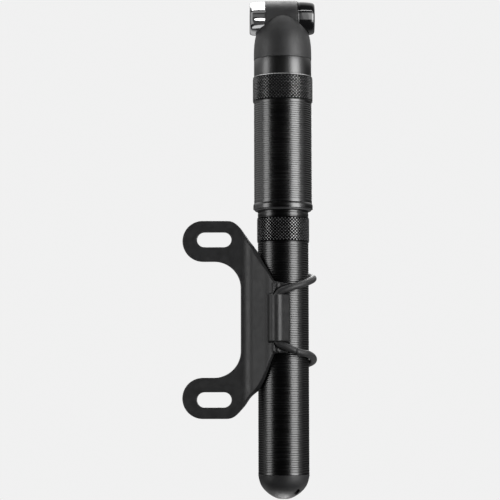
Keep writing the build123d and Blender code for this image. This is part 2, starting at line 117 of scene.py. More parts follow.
def knurled_ring(radius, depth, z_range, columns, inner_radius, rim, bevel=0.0):
    """A ring with a real diamond knurl: cut pyramids between two families of
    crossing grooves, with a plain rim at each end."""
    half_rows = 15
    flat = 0.36  # how far a pyramid's flat top reaches towards the groove corners
    edge_inset = 0.42  # half-rows from the knurl's edge to the crests of the end row
    z0, z1 = z_range
    knurl_z0, knurl_z1 = z0 + rim, z1 - rim - bevel
    groove_radius = radius - depth
    rim_radius = radius - depth * 0.25
    count = 2 * columns
    verts, faces = [], []

    def point(row, column, point_radius):
        z = knurl_z0 + (knurl_z1 - knurl_z0) * row / half_rows
        verts.append(around(point_radius, math.pi * column / columns, z))
        return len(verts) - 1

    def ring(ring_radius, z):
        start = len(verts)
        verts.extend(around(ring_radius, math.pi * j / columns, z) for j in range(count))
        return start

    rows = [
        ring(groove_radius, knurl_z0 + (knurl_z1 - knurl_z0) * i / half_rows)
        for i in range(half_rows + 1)
    ]

    def base(i, j):
        return rows[i] + j % count

    for i in range(half_rows + 1):
        for j in range(count):
            if (i + j) % 2 == 0:
                continue
            if i in (0, half_rows):
                inward = 1 if i == 0 else -1
                crest = point(i + edge_inset * inward, j, radius - depth * 0.35)
                foot = [base(i, j - inward), base(i, j), base(i, j + inward)]
                foot.append(base(i + inward, j))
                for start, end in zip(foot, foot[1:] + foot[:1]):
                    faces.append([start, end, crest])
                continue
            corners = [(i - 1, j), (i, j + 1), (i + 1, j), (i, j - 1)]
            tops = [
                point(i + (row - i) * flat, j + (column - j) * flat, radius)
                for row, column in corners
            ]
            foot = [base(row, column) for row, column in corners]
            faces.append(tops)
            for k in range(4):
                after = (k + 1) % 4
                faces.append([foot[k], foot[after], tops[after], tops[k]])

    # lower rim, inside wall, upper rim
    loops = [rows[0]]
    for ring_radius, z in (
        (rim_radius, z0 + rim * 0.85),
        (rim_radius, z0 + 0.12),
        (groove_radius, z0),
        (inner_radius, z0),
        (inner_radius, z1),
        (groove_radius - bevel * 0.3, z1),
        (rim_radius, z1 - 0.12 - bevel),
        (rim_radius, z1 - rim * 0.85 - bevel * 0.3),
    ):
        loops.append(ring(ring_radius, z))
    loops.append(rows[-1])
    for lower, upper in zip(loops, loops[1:]):
        faces += bridge(lower, upper, count)
    return verts, faces


def swept(path, radii, sides):
    """Round cord along a path of points, one radius per point, with flat ends."""
    tangents = np.gradient(path, axis=0)
    tangents /= np.linalg.norm(tangents, axis=1)[:, None]
    side = np.cross(tangents[0], (1.0, 0.0, 0.0))
    side /= np.linalg.norm(side)
    layers = []
    for centre, tangent, radius in zip(path, tangents, radii):
        # the last ring's side, squared up to the new direction, keeps twist out
        side = side - tangent * (side @ tangent)
        side /= np.linalg.norm(side)
        other = np.cross(tangent, side)
        layer = []
        for j in range(sides):
            angle = 2 * math.pi * j / sides
            layer.append(centre + radius * (math.cos(angle) * side + math.sin(angle) * other))
        layers.append(layer)
    return skin(layers)


def rounded(corners, radii, steps=6):
    """A closed polygon with its corners rounded, one radius per corner."""
    outline = []
    for i, radius in enumerate(radii):
        corner = Vector(corners[i])
        if radius <= 0:
            outline.append(tuple(corner))
            continue
        back = Vector(corners[i - 1]) - corner
        ahead = Vector(corners[(i + 1) % len(corners)]) - corner
        radius = min(radius, back.length * 0.48, ahead.length * 0.48)
        start = corner + back.normalized() * radius
        end = corner + ahead.normalized() * radius
        for k in range(steps + 1):
            t = k / steps
            outline.append(tuple(start * (1 - t) ** 2 + corner * 2 * t * (1 - t) + end * t**2))
    return outline


def smooth_line(points, step):
    """Centripetal Catmull-Rom line through points, sampled about every step."""

    def between(t, start, end, first, last):
        return (end - t) / (end - start) * first + (t - start) / (end - start) * last

    points = [np.array(point, float) for point in points]
    points = [2 * points[0] - points[1]] + points + [2 * points[-1] - points[-2]]
    line = []
    for i in range(1, len(points) - 2):
        four = points[i - 1 : i + 3]
        knots = [0.0]
        for first, last in zip(four, four[1:]):
            knots.append(knots[-1] + np.linalg.norm(last - first) ** 0.5)
        count = max(2, int(round(np.linalg.norm(four[2] - four[1]) / step)))
        for t in np.linspace(knots[1], knots[2], count, endpoint=False):
            blends = four
            for reach in (1, 2):
                blends = [
                    between(t, knots[k], knots[k + reach], blends[k], blends[k + 1])
                    for k in range(4 - reach)
                ]
            line.append(between(t, knots[1], knots[2], *blends))
    line.append(points[-2])
    return line


def prism(outline, z0, z1):
    """Flat outline of (x, y) points pulled from z0 to z1."""
    count = len(outline)
    verts = [(x, y, z) for z in (z0, z1) for x, y in outline]
    faces = [list(range(count))[::-1], list(range(count, 2 * count))]
    return verts, faces + bridge(0, count, count)


def soft_plate(outline, z0, z1, rim_radius):
    """Clockwise outline pulled from z0 to z1 with rounded upper and lower rims."""
    points = [Vector(point) for point in outline]
    inward = []
    for i in range(len(points)):
        along = (points[(i + 1) % len(points)] - points[i - 1]).normalized()
        inward.append(Vector((along.y, -along.x)))
    levels = []  # (height, inset)
    for k in range(5):
        angle = math.pi / 2 * k / 4
        height = z0 + rim_radius - rim_radius * math.cos(angle)
        levels.append((height, rim_radius - rim_radius * math.sin(angle)))
    levels += [(z1 - (z - z0), inset) for z, inset in levels[::-1]]
    return skin([
        [(p.x + v.x * inset, p.y + v.y * inset, z) for p, v in zip(points, inward)]
        for z, inset in levels
    ])


def grooved(radius, z0, z1, pitch, depth, width):
    """(radius, height) points of a wall from z0 to z1 with V grooves cut in it."""
    count = int((z1 - z0) / pitch)
    first = z0 + ((z1 - z0) - (count - 1) * pitch) / 2
    points = []
    for i in range(count):
        z = first + i * pitch
        points += [(radius, z - width / 2), (radius - depth, z), (radius, z + width / 2)]
    return points


def join(*shapes):
    """Several shapes as one."""
    verts, faces = [], []
    for more_verts, more_faces in shapes:
        offset = len(verts)
        verts += list(more_verts)
        faces += [[i + offset for i in face] for face in more_faces]
    return verts, faces


# ------------------------------------------------------------------ meshes
def mesh_of(name, shape):
    """A closed mesh in the pump's own millimetres, its faces pointing outwards."""
    verts, faces = shape
    mesh = bpy.data.meshes.new(name)
    mesh.from_pydata([tuple(map(float, vert)) for vert in verts], [], faces)
    bm = bmesh.new()
    bm.from_mesh(mesh)
    bmesh.ops.remove_doubles(bm, verts=bm.verts, dist=1e-5)
    if bm.calc_volume(signed=True) < 0:
        bmesh.ops.reverse_faces(bm, faces=bm.faces)
    bm.to_mesh(mesh)
    bm.free()
    return mesh


def link_object(name, data):
    ob = bpy.data.objects.new(name, data)
    bpy.context.scene.collection.objects.link(ob)
    return ob


def combined(name, shape, steps):
    """Mesh of a shape with (operation, name, shape) steps applied by the exact solver."""
    work = link_object("work", mesh_of(name, shape))
    tools = []
    for operation, tool_name, tool_shape in steps:
        tool = link_object("tool", mesh_of(tool_name, tool_shape))
        tools.append(tool)
        boolean = work.modifiers.new("boolean", "BOOLEAN")
        boolean.operation = operation
        boolean.solver = "EXACT"
        boolean.object = tool
    depsgraph = bpy.context.evaluated_depsgraph_get()
    mesh = bpy.data.meshes.new_from_object(work.evaluated_get(depsgraph))
    for ob in tools + [work]:
        bpy.data.objects.remove(ob)
    return mesh


def piece(name, mesh, look, body, node, sharp_angle=35):
    """Put a mesh, or a shape, in the row frame as the look of one CAD node. The slot
    is named after the look."""
    if not isinstance(mesh, bpy.types.Mesh):
        mesh = mesh_of(name, mesh)
    mesh.name = name
    shift = Matrix.Translation((AXIS_X, AXIS_Y, -BOSS_Z))
    mesh.transform(Matrix.Scale(MM, 4) @ shift)
    ob = link_object(name, mesh)
    mesh.materials.clear()
    mesh.materials.append(LOOKS[look])
    mesh.shade_smooth()
    mesh.set_sharp_from_angle(angle=math.radians(sharp_angle))
    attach(ob, body)
    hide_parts(node)
    return ob


# ------------------------------------------------------------------ node trees
class NodeTree:
    """The cleared node tree of a material or world, with short ways to add nodes."""

    def __init__(self, owner, output_kind):
        owner.use_nodes = True
        self.tree = owner.node_tree
        self.tree.nodes.clear()
        self.output = self.node(output_kind)

    def feed(self, node, inputs):
        """Set or link inputs, given by name or number as values or sockets."""
        for key, value in inputs.items():
            if isinstance(value, bpy.types.NodeSocket):
                self.tree.links.new(value, node.inputs[key])
            else:
                node.inputs[key].default_value = value

    def node(self, kind, inputs=None, **settings):
        node = self.tree.nodes.new(kind)
        for key, value in settings.items():
            setattr(node, key, value)
        self.feed(node, inputs or {})
        return node

    def math(self, operation, *values):
        inputs = dict(enumerate(values))
        return self.node("ShaderNodeMath", inputs, operation=operation).outputs[0]

    def remap(self, value, span, to, interpolation="LINEAR"):
        """Value mapped from one (low, high) pair to another, held outside."""
        inputs = dict(enumerate((value, *span, *to)))
        node = self.node("ShaderNodeMapRange", inputs, interpolation_type=interpolation)
        return node.outputs[0]

    def axes(self, vector):
        return self.node("ShaderNodeSeparateXYZ", {0: vector}).outputs

    def finish_split(self, lit, seen):
        """Output one shader to the camera (seen) and another to all other rays (lit)."""
        camera_ray = self.node("ShaderNodeLightPath").outputs["Is Camera Ray"]
        mix = self.node(
            "ShaderNodeMixShader", {0: camera_ray, 1: lit.outputs[0], 2: seen.outputs[0]}
        )
        self.feed(self.output, {0: mix.outputs[0]})


class Look(NodeTree):
    """One material on a Principled shader, patterned in object coordinates."""

    def __init__(self, name):
        self.material = bpy.data.materials.new(name)
        super().__init__(self.material, "ShaderNodeOutputMaterial")
        self.shader = self.node("ShaderNodeBsdfPrincipled")
        self.feed(self.output, {0: self.shader.outputs[0]})
        self.place = self.node("ShaderNodeTexCoord").outputs["Object"]

    def surface(self, inputs):
        self.feed(self.shader, inputs)

    def stretched(self, *scale):
        inputs = {"Scale": scale, "Vector": self.place}
        return self.node("ShaderNodeMapping", inputs).outputs[0]

    def noise(self, scale, detail=3.0, roughness=0.55, distortion=0.0, vector=None):
        inputs = {
            "Scale": scale,
            "Detail": detail,
            "Roughness": roughness,
            "Distortion": distortion,
            "Vector": vector or self.place,
        }
        return self.node("ShaderNodeTexNoise", inputs).outputs[0]

    def axis_distance(self):
        """Distance from the pump's axis."""
        x, y, _ = self.axes(self.place)
        across = self.math("SUBTRACT", x, AXIS_X * MM)
        back = self.math("SUBTRACT", y, AXIS_Y * MM)
        squares = [self.math("MULTIPLY", part, part) for part in (across, back)]
        return self.math("SQRT", self.math("ADD", *squares))

    def mix(self, factor, *colours):
        inputs = {0: factor}
        for key, colour in zip((6, 7), colours):
            inputs[key] = (*colour, 1) if isinstance(colour, tuple) else colour
        return self.node("ShaderNodeMix", inputs, data_type="RGBA").outputs[2]

    def bump(self, height, strength, depth):
        """Relief of a depth in millimetres."""
        inputs = {"Strength": strength, "Distance": depth * MM, "Height": height}
        self.surface({"Normal": self.node("ShaderNodeBump", inputs).outputs[0]})


# ------------------------------------------------------------------ material families
def toned(colour, factor, lift=0.0):
    return tuple(min(1.0, value * factor + lift) for value in colour)


def moulded(name, base, roughness, grain, depth, strength=0.5, patch=0.25):
    """Moulded plastic: fine spark-eroded grain, soft uneven sheen. Grain size and
    depth in millimetres; patch is how much the tone wanders."""
    look = Look(name)
    fine = look.noise(scale=1 / (grain * MM), detail=4.0, roughness=0.6)
    broad = look.noise(scale=120.0, roughness=0.5)
    tone = look.remap(broad, span=(0.3, 0.7), to=(1 - patch, 1 + patch))
    speck = look.remap(fine, span=(0.35, 0.7), to=(0.8, 1.25))
    shade = look.remap(look.math("MULTIPLY", tone, speck), span=(0.4, 1.8), to=(0.0, 1.0))
    sheen = look.noise(scale=400.0)
    sheen_range = (roughness - 0.06, roughness + 0.07)
    look.surface({
        "Base Color": look.mix(shade, toned(base, 0.55), toned(base, 1.75)),
        "Roughness": look.remap(sheen, span=(0.3, 0.7), to=sheen_range),
        "Specular IOR Level": 0.5,
    })
    look.bump(fine, strength, depth)
    return look.material


def rubber(name, base, roughness):
    """Rubber: fine grain under a paler film of dust."""
    look = Look(name)
    grain = 0.22
    fine = look.noise(scale=1 / (grain * MM), roughness=0.5)
    dust = look.noise(scale=700.0, detail=5.0, roughness=0.7)
    film = look.remap(dust, span=(0.52, 0.78), to=(0.0, 0.55))
    sheen_range = (roughness - 0.05, roughness + 0.1)
    look.surface({
        "Base Color": look.mix(film, base, toned(base, 2.4)),
        "Roughness": look.remap(dust, span=(0.3, 0.7), to=sheen_range),
        "Specular IOR Level": 0.35,
    })
    look.bump(fine, strength=0.35, depth=0.02)
    return look.material


def paint_crest_highlight(
    look, tone, specular, plain_radius, groove_specular, crest_radius, crest_specular,
    crest_highlight_colour, rim_z=None,
):
    """Painted highlight on a knurl: its crests, and everything above rim_z, are painted a lighter
    colour to stand in for lit facets, and are given more specular.
    Radii and rim_z in the pump's millimetres. Returns the tone with the crests in."""
    distance = look.axis_distance()
    crest_span = ((crest_radius - 0.06) * MM, (crest_radius - 0.01) * MM)
    # painted highlight mask: 1 on the knurl crests and above rim_z, where the lighter colour is
    # painted
    crest_highlight_mask = look.remap(distance, span=crest_span, to=(0.0, 1.0))
    if rim_z is not None:
        z = look.axes(look.place)[2]
        rim_span = ((rim_z - 0.1 - BOSS_Z) * MM, (rim_z - BOSS_Z) * MM)
        rim = look.remap(z, span=rim_span, to=(0.0, 1.0))
        crest_highlight_mask = look.math("MAXIMUM", crest_highlight_mask, rim)
    groove_span = ((plain_radius + 0.02) * MM, (plain_radius + 0.06) * MM)
    low = look.remap(distance, span=groove_span, to=(specular, groove_specular))
    gain = look.math("MULTIPLY", crest_highlight_mask, crest_specular - groove_specular)
    look.surface({"Specular IOR Level": look.math("ADD", low, gain), "IOR": 1.9})
    # the painted crest highlight mixed into the tone
    return look.mix(crest_highlight_mask, tone, crest_highlight_colour)


def turned_metal(
    name, base, roughness, ring, ring_depth, metallic=1.0, specular=0.5, wear=0.12,
    strength=0.5, crest=None,
):
    """Turned metal: tool rings across the axis, faint rubbed patches. Ring width and
    depth in millimetres; crest holds the settings of the painted crest highlight."""
    look = Look(name)
    ring_vector = look.stretched(60.0, 60.0, 1 / (ring * MM))
    rings = look.noise(scale=1.0, detail=2.0, roughness=0.5, vector=ring_vector)
    rub = look.noise(scale=260.0, detail=5.0, roughness=0.65, distortion=0.6)
    scuff = look.remap(rub, span=(0.56, 0.72), to=(0.0, wear))
    tone = look.mix(scuff, base, toned(base, 2.2, lift=0.02))
    sheen = look.remap(rings, span=(0.3, 0.7), to=(roughness - 0.04, roughness + 0.05))
    look.surface({
        "Roughness": look.math("ADD", sheen, look.math("MULTIPLY", scuff, 0.6)),
        "Specular IOR Level": specular,
        "Metallic": metallic,
        "Coat Roughness": 0.08,
    })
    # painted highlight: knurl crests, and the rim above rim_z, painted lighter
    if crest:
        tone = paint_crest_highlight(look, tone, specular, **crest)
    look.surface({"Base Color": tone})
    look.bump(rings, strength, ring_depth)
    return look.material


def anodised(name, base, roughness, specular, ring_depth=0.0012, wear=0.03, strength=0.2, crest=None):
    """Black anodised aluminium, whose dyed skin is not metallic."""
    return turned_metal(
        name, base, roughness, ring=0.3, ring_depth=ring_depth, metallic=0.0,
        specular=specular, wear=wear, strength=strength, crest=crest,
    )


def glossy(name, base, roughness, specular):
    """Gloss paint or plastic: slight orange peel and swirl marks."""
    look = Look(name)
    peel = look.noise(scale=900.0, detail=2.0, roughness=0.4)
    swirl_vector = look.stretched(1400.0, 1400.0, 160.0)
    swirl = look.noise(
        scale=1.0, detail=4.0, roughness=0.7, distortion=1.4, vector=swirl_vector
    )
    marks = look.remap(swirl, span=(0.6, 0.8), to=(0.0, 0.3))
    sheen_range = (roughness, roughness + 0.07)
    look.surface({
        "Base Color": look.mix(marks, base, toned(base, 2.2, lift=0.004)),
        "Roughness": look.remap(swirl, span=(0.35, 0.75), to=sheen_range),
        "Specular IOR Level": specular,
        "Coat Roughness": 0.04,
    })
    look.bump(peel, strength=0.4, depth=0.003)
    return look.material


def chrome(name, base, roughness):
    """Bright plating: faint polishing lines, uneven haze."""
    look = Look(name)
    line_vector = look.stretched(300.0, 5200.0, 5200.0)
    lines = look.noise(scale=1.0, roughness=0.6, vector=line_vector)
    haze = look.noise(scale=240.0, detail=4.0, roughness=0.6)
    veil = look.remap(haze, span=(0.35, 0.7), to=(0.0, 0.5))
    sheen_range = (roughness, roughness + 0.06)
    look.surface({
        "Base Color": look.mix(veil, base, toned(base, 0.86)),
        "Roughness": look.remap(haze, span=(0.3, 0.75), to=sheen_range),
        "Metallic": 1.0,
        "Specular IOR Level": 0.5,
    })
    look.bump(lines, strength=0.25, depth=0.0015)
    return look.material


# ------------------------------------------------------------------ materials
# Painted highlights for the knurls: the crest colour below is painted on the knurl crests, and on the
# collar's top rim, to stand in for lit facets.
BARREL_CREST = dict(
    plain_radius=BARREL_RADIUS, groove_specular=0.20, crest_radius=BARREL_KNURL_RADIUS,
    crest_specular=0.9, crest_highlight_colour=(0.10, 0.10, 0.102),
)
COLLAR_CREST = dict(
    plain_radius=11.0, groove_specular=0.20, crest_radius=COLLAR_RADIUS,
    crest_specular=0.78, crest_highlight_colour=(0.07, 0.07, 0.071), rim_z=COLLAR_Z[1] - 0.4,
)

# family, name, base colour, roughness, other settings
MATERIALS = [
    (moulded, "bracket_plastic", (0.018, 0.018, 0.0185), 0.35,
     dict(grain=0.2, depth=0.03, strength=0.3, patch=0.12)),
    (rubber, "cord_rubber", (0.023, 0.023, 0.0235), 0.44, {}),
    (anodised, "anodised_black", (0.0008, 0.0008, 0.0009), 0.25,
     dict(specular=0.28, crest=BARREL_CREST)),
    (anodised, "anodised_sleeve", (0.0010, 0.0010, 0.0011), 0.255, dict(specular=0.9)),
    (anodised, "collar_anodised", (0.006, 0.006, 0.0063), 0.24,
     dict(specular=0.3, ring_depth=0.0010, wear=0.15, strength=0.1, crest=COLLAR_CREST)),
    (moulded, "cap_plastic", (0.017, 0.017, 0.0175), 0.44,
     dict(grain=0.22, depth=0.035, strength=0.45)),
    (moulded, "head_plastic", (0.0245, 0.0245, 0.025), 0.48, dict(grain=0.16, depth=0.035)),
    (glossy, "band_gloss", (0.004, 0.004, 0.004), 0.30, dict(specular=0.95)),
    (glossy, "cap_gloss", (0.004, 0.004, 0.0043), 0.07, dict(specular=0.6)),
    (chrome, "lever_chrome", (0.80, 0.80, 0.81), 0.07, {}),
    (turned_metal, "aluminium", (0.62, 0.62, 0.64), 0.30, dict(ring=0.12, ring_depth=0.003)),
    (turned_metal, "steel", (0.46, 0.46, 0.48), 0.22, dict(ring=0.10, ring_depth=0.002)),
    (turned_metal, "brass", (0.60, 0.42, 0.17), 0.28, dict(ring=0.10, ring_depth=0.002)),
    (moulded, "bush_plastic", (0.030, 0.030, 0.031), 0.42, dict(grain=0.25, depth=0.02)),
    (rubber, "seal_rubber", (0.014, 0.014, 0.0145), 0.55, {}),
]
LOOKS = {}
for family, name, base, roughness, settings in MATERIALS:
    LOOKS[name] = family(name, base, roughness, **settings)

for row in frame["record"]["subparts"]:
    ob = frame["nodes"].get(row["node"])
    if ob is not None:
        ob.data.materials.clear()
        ob.data.materials.append(LOOKS[row["material_slot"]])


# ------------------------------------------------------------------ barrel to band
# Profiles here and below are closed loops of (radius, height).
def build_barrel():
    """Grooved tube with a knurled belt between its two grooved stretches."""
    groove = dict(pitch=0.93, depth=0.085, width=0.52)
    wall = [(10.1, 9.75), (BARREL_RADIUS, 9.85)]
    wall += grooved(BARREL_RADIUS, 10.3, 101.6, **groove)
    wall += [
        (BARREL_RADIUS, 101.9), (10.1, 102.1), (10.1, 102.36),
        (10.1, 112.34), (10.1, 112.6), (BARREL_RADIUS, 112.8),
    ]
    wall += grooved(BARREL_RADIUS, 113.4, 157.6, **groove)
    wall += [(BARREL_RADIUS, 157.9), (10.1, 158.0), (9.3, 158.0), (9.3, 9.75)]
    knurl = knurled_ring(
        BARREL_KNURL_RADIUS, depth=0.32, z_range=BARREL_KNURL_Z, columns=48,
        inner_radius=9.9, rim=0.2,
    )
    shape = join(turned(wall, 112), knurl)
    return piece("grooved_barrel", shape, "anodised_black", "handle", "barrel", sharp_angle=20)


SLEEVE_LIP = [
    (10.75, 115.7), (11.76, 115.7), (11.89, 115.73), (11.96, 115.8), (11.99, 115.92),
    (12.0, 116.1), (12.0, 117.0), (11.97, 117.35), (11.88, 117.7), (11.75, 117.95),
    (SLEEVE_RADIUS, 118.15), (SLEEVE_RADIUS, 118.6),
]


def build_sleeve():
    wall = list(SLEEVE_LIP)
    wall += grooved(SLEEVE_RADIUS, 119.0, 158.9, pitch=0.875, depth=0.08, width=0.50)
    wall += [(SLEEVE_RADIUS, 159.2), (11.6, 159.3), (11.6, 164.0), (10.75, 164.0)]
    piece(
        "grooved_sleeve", turned(wall, 128), "anodised_sleeve", "head", "grip_sleeve",
        sharp_angle=20,
    )


def build_collar():
    collar = knurled_ring(
        COLLAR_RADIUS, depth=0.34, z_range=COLLAR_Z, columns=56, inner_radius=10.94,
        rim=0.24, bevel=0.26,
    )
    piece(
        "diamond_collar", collar, "collar_anodised", "head", "knurled_collar", sharp_angle=15
    )


BAND = [
    (10.92, 169.6), (11.48, 169.6), (11.55, 169.66), (11.6, 169.8), (11.6, 176.35),
    (11.55, 176.5), (11.46, 176.56), (10.92, 176.56),
]


def build_band():
    piece("gloss_band", turned(BAND, 160), "band_gloss", "head", "smooth_band")


# ------------------------------------------------------------------ end cap
# stations of the dome's outer curve, from its rim to the tip
DOME = [
    (10.28, 9.7), (10.13, 8.9), (9.85, 7.52), (9.13, 5.54),
    (7.7, 3.56), (5.2, 1.5), (2.4, 0.2), (0, 0),
]
VENT = [(-1.25, -0.62), (1.25, -0.62), (1.25, 0.62), (-1.25, 0.62)]
VENT_CENTRE = (5.1, -5.4, 3.0)
VENT_TILT = -48  # degrees about Y


def vent_cutter():
    """Rounded bar along Y that cuts the small slot in the dome."""
    verts, faces = prism(rounded(VENT, [0.3] * 4), -2.5, 2.5)
    cos, sin = math.cos(math.radians(VENT_TILT)), math.sin(math.radians(VENT_TILT))
    cx, cy, cz = VENT_CENTRE
    # the prism's own z lies along Y here
    placed = [(cx + x * cos + z * sin, cy + y, cz - x * sin + z * cos) for x, z, y in verts]
    return placed, faces


def build_end_cap():
    curve = [(max(0.0, radius), z) for radius, z in smooth_line(DOME, 0.45)]
    dome = [(9.35, 9.7), (10.16, 9.7), (10.25, 9.62)] + curve[1:]
    dome += [(0.0, 4.3), (6.55, 4.3), (6.55, 9.7)]
    steps = [("DIFFERENCE", "vent", vent_cutter())]
    mesh = combined("dome", turned(dome, 128), steps)
    return piece(
        "domed_end_cap", mesh, "cap_plastic", "handle", "end_cap", sharp_angle=40
    )


# ------------------------------------------------------------------ valve head
# stations of the bullet's outer curve, upwards
OGIVE = [
    (11.68, 176.6), (11.66, 179.0), (11.6, 181.2), (11.45, 183.2), (11.15, 185.2),
    (10.65, 187.2), (9.95, 189.0), (9.1, 190.9), (8.2, 192.5), (7.25, 193.9),
    (6.0, 195.6), (4.6, 197.2),
]
# the bullet's inside, skirt and lower edge, before the ogive
HEAD_SKIRT = [
    (3.2, 172.0), (8.62, 172.0), (8.62, 160.5), (10.7, 160.5), (10.7, 164.2),
    (10.9, 164.2), (10.9, 176.6), (11.6, 176.62), (11.66, 176.75),
]
HEAD_INSIDE = [(0.0, 197.2), (0.0, 183.5), (2.7, 183.5), (2.7, 175.0), (3.2, 175.0)]
# (radius, x) about the cross tube's axis, as are the cap and hub below
CROSS_TUBE = [
    (0.0, -7.0), (7.05, -7.0), (7.2, -6.95), (7.28, -6.85), (7.3, -6.7), (7.3, 5.65),
    (7.28, 5.8), (7.2, 5.9), (7.05, 5.95), (0.0, 5.95),
]


def build_head():
    """Bullet body cut back at both sides, with a bored cross tube through it."""
    body = HEAD_SKIRT + smooth_line(OGIVE, 0.4)[1:] + HEAD_INSIDE
    mesh = combined("bullet", turned(body, 160), [
        ("DIFFERENCE", "pocket_a", cross_cylinder(7.15, -16.0, -6.9, sides=96)),
        ("DIFFERENCE", "pocket_b", cross_cylinder(7.05, 5.85, 16.0, sides=96)),
        ("UNION", "tube", turned(CROSS_TUBE, 144, "x")),
        ("DIFFERENCE", "bore", cross_cylinder(5.05, -8.0, 8.0, sides=72)),
    ])
    piece("bullet_head", mesh, "head_plastic", "head", "head_housing", sharp_angle=38)


VALVE_CAP = [
    (5.1, 6.0), (6.72, 6.0), (6.85, 6.06), (6.9, 6.16), (6.9, 6.42), (6.84, 6.5),
    (6.66, 6.56), (6.62, 6.66), (6.66, 6.82), (6.78, 6.92), (6.8, 7.05), (6.79, 7.8),
    (6.76, 8.6), (6.71, 9.4), (6.64, 10.2), (6.55, 11.0), (6.43, 11.7), (6.27, 12.25),
    (6.05, 12.62), (5.75, 12.85), (5.4, 12.95), (4.75, 12.95), (4.45, 12.86),
    (4.2, 12.66), (4.08, 12.4), (4.05, 12.2), (4.05, 11.08), (5.1, 11.08),
]


def build_valve_cap():
    """Crowned cap on the +X end with a thin flange and the entry hole."""
    shape = turned(VALVE_CAP, 144, "x")
    return piece("gloss_valve_cap", shape, "cap_gloss", "head", "valve_cap", sharp_angle=50)


LEVER_HUB = [
    (0.0, -5.3), (5.0, -5.3), (5.0, -7.06), (6.8, -7.06), (6.93, -7.12), (6.99, -7.24),
    (7.0, -7.5), (6.99, -8.4), (6.96, -9.4), (6.91, -10.4), (6.83, -11.3), (6.72, -12.1),
    (6.56, -12.7), (6.35, -13.1), (6.1, -13.28), (5.8, -13.35), (5.35, -13.33),
    (5.1, -13.22), (4.9, -13.1), (0.0, -13.05),
]
# corners of the paddle seen from above: x, y, corner radius
PADDLE = [
    (-13.1, 4.5, 0), (-13.1, 15.5, 1.5), (-12.5, 19.4, 1.6), (-10.5, 21.7, 1.8),
    (-6.6, 22.3, 1.8), (-3.5, 21.3, 1.6), (-2.1, 18.6, 1.4), (-3.0, 15.6, 1.5),
    (-5.5, 13.2, 1.5), (-7.2, 10.4, 1.2), (-7.2, 4.5, 0),
]


def build_lever():
    """Crowned hub on the -X end with a dished outer face, and a thumb paddle at the back."""
    outline = rounded([(x, y) for x, y, _ in PADDLE], [radius for _, _, radius in PADDLE])
    plate = soft_plate(outline, CROSS_Z + 1.0, CROSS_Z + 3.6, rim_radius=0.6)
    mesh = combined("hub", turned(LEVER_HUB, 144, "x"), [("UNION", "paddle", plate)])
    return piece(
        "chrome_lock_lever", mesh, "lever_chrome", "lever", "lock_lever", sharp_angle=42
    )


# ------------------------------------------------------------------ cord
# Heights are from the boss. Turns are (degrees about the pump axis, radius, height)
# stations, bends and straight runs are (x, y, height) points.
CORD_RADIUS = 1.45
FRONT_X, FRONT_Y = -3.0, -12.12
UPPER_TURN = [
    (-98.5, 12.5, 10.4), (-88, 12.44, 11.5), (-76, 12.3, 12.4), (-62, 12.1, 13.25),
    (-42, 11.97, 14.5), (-16, 11.97, 15.9), (12, 11.97, 17.0), (40, 11.97, 17.9),
    (70, 11.97, 18.6), (100, 11.97, 19.3), (128, 11.97, 20.2), (148, 12.1, 21.2),
]
# on the -X side, from the upper turn down; mirrored in height below the boss
SIDE_BEND = [
    (-12.2, 3.2, 22.5), (-13.5, 1.45, 22.15), (-14.25, 0.6, 20.7), (-14.4, 0.5, 18.8),
    (-14.4, 0.5, 11.0),
]
LOWER_TURN = [
    (148, 12.1, -21.2), (128, 11.97, -20.2), (100, 11.97, -19.2), (70, 11.97, -18.4),
    (40, 11.97, -17.7), (12, 11.97, -16.6), (-14, 11.97, -15.2), (-38, 11.97, -13.9),
    (-54, 12.0, -13.5), (-64, 12.05, -13.05), (-71, 12.1, -12.9),
]
# the other end, butted on top at the front at a slight angle
LAST_TURN = [
    (-67.5, 12.62, -13.15), (-72, 12.62, -12.6), (-80, 12.55, -11.75),
    (-90, 12.5, -10.75), (-98.5, 12.5, -9.9),
]


def turn(stations):
    return [around(radius, math.radians(angle), z) for angle, radius, z in stations]


def front_run(*heights):
    return [(FRONT_X, FRONT_Y, z) for z in heights]


def cord_length(points, tip_first):
    """One length of cord, rounded off at its first or its last end."""
    line = np.array(smooth_line(points, 0.45))
    line[:, 2] += BOSS_Z
    run = np.concatenate(([0.0], np.cumsum(np.linalg.norm(np.diff(line, axis=0), axis=1))))
    from_tip = run if tip_first else run[-1] - run
    rounding = 1.1  # length over which the tip closes
    missing = 1 - np.minimum(1.0, from_tip / rounding)
    radii = CORD_RADIUS * np.sqrt(np.maximum(0.02, 1 - missing**2))
    return swept(line, radii, sides=22)


def build_cord():
    loop = front_run(0.1, 3.0, 6.0, 8.4) + turn(UPPER_TURN) + SIDE_BEND
    loop += [(-14.4, 0.5, 0.0)]
    loop += [(x, y, -z) for x, y, z in reversed(SIDE_BEND)] + turn(LOWER_TURN)
    last = turn(LAST_TURN) + front_run(-8.0, -6.0, -3.0, -0.1)
    shape = join(cord_length(loop, tip_first=False), cord_length(last, tip_first=True))
    piece("elastic_cord", shape, "cord_rubber", "mount", "elastic_strap", sharp_angle=60)


# ------------------------------------------------------------------ bracket
def soften_bracket():
    """Even out the CAD bracket's mesh and soften its edges."""
    bracket = frame["nodes"]["bracket"]
    even = bracket.modifiers.new("even", "REMESH")
    even.mode = "VOXEL"
    even.voxel_size = 0.00027
    even.use_smooth_shade = True
    soft = bracket.modifiers.new("soft", "SMOOTH")
    soft.factor = 0.5
    soft.iterations = 6
    return bracket


barrel = build_barrel()
build_sleeve()
build_collar()
build_band()
dome = build_end_cap()
build_head()
cap = build_valve_cap()
lever = build_lever()
build_cord()
bracket = soften_bracket()

# ------------------------------------------------------------------ stage
PALE = (0.877, 0.877, 0.877, 1)  # backdrop as the camera sees it
FLOOR_GREY = (0.35, 0.35, 0.35, 1)  # floor as other rays see it
FLOOR_HALF = 8
FLOOR_Z = -0.45


